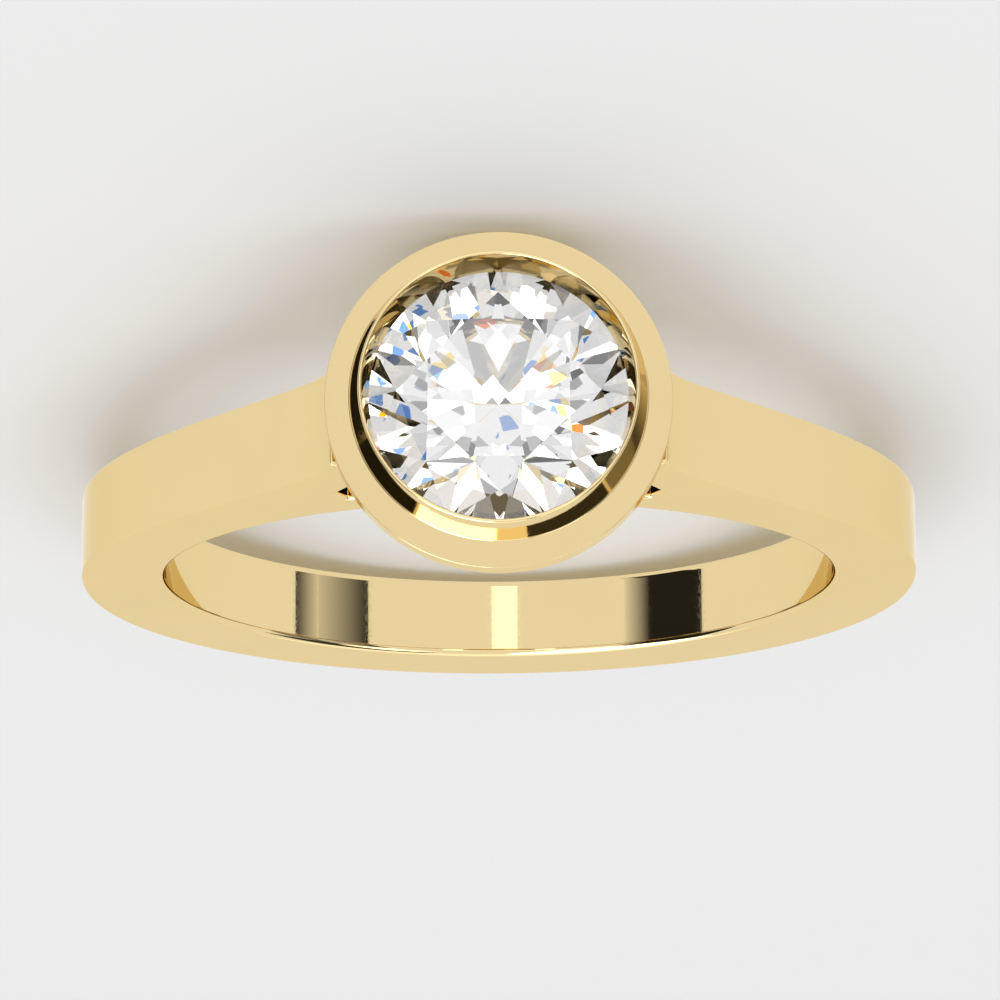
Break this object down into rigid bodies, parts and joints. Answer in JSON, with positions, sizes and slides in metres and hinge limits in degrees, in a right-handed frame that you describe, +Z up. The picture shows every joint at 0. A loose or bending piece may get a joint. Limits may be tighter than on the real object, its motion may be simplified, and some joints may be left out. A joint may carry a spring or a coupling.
{
  "type": "bezel set ring",
  "caption": "Finger ring whose shoulders rise to a tapered cup with a flat round flange and a raised collar that holds a round brilliant cut stone.",
  "frame": {"origin": "bottom centre of the bounding box, on the surface that the ring lies on", "axes": "+Z up; the ring lies on its side with the stone towards -Y and the palm side of the band towards +Y; X runs across the band"},
  "size_m": [0.0226, 0.0276, 0.0085],
  "materials": {
    "gold": "mirror polished yellow gold",
    "stone": "clear polished facets"
  },
  "bodies": {
    "root": {"gold_ring": "gold", "round_stone": "stone"}
  },
  "joints": []
}
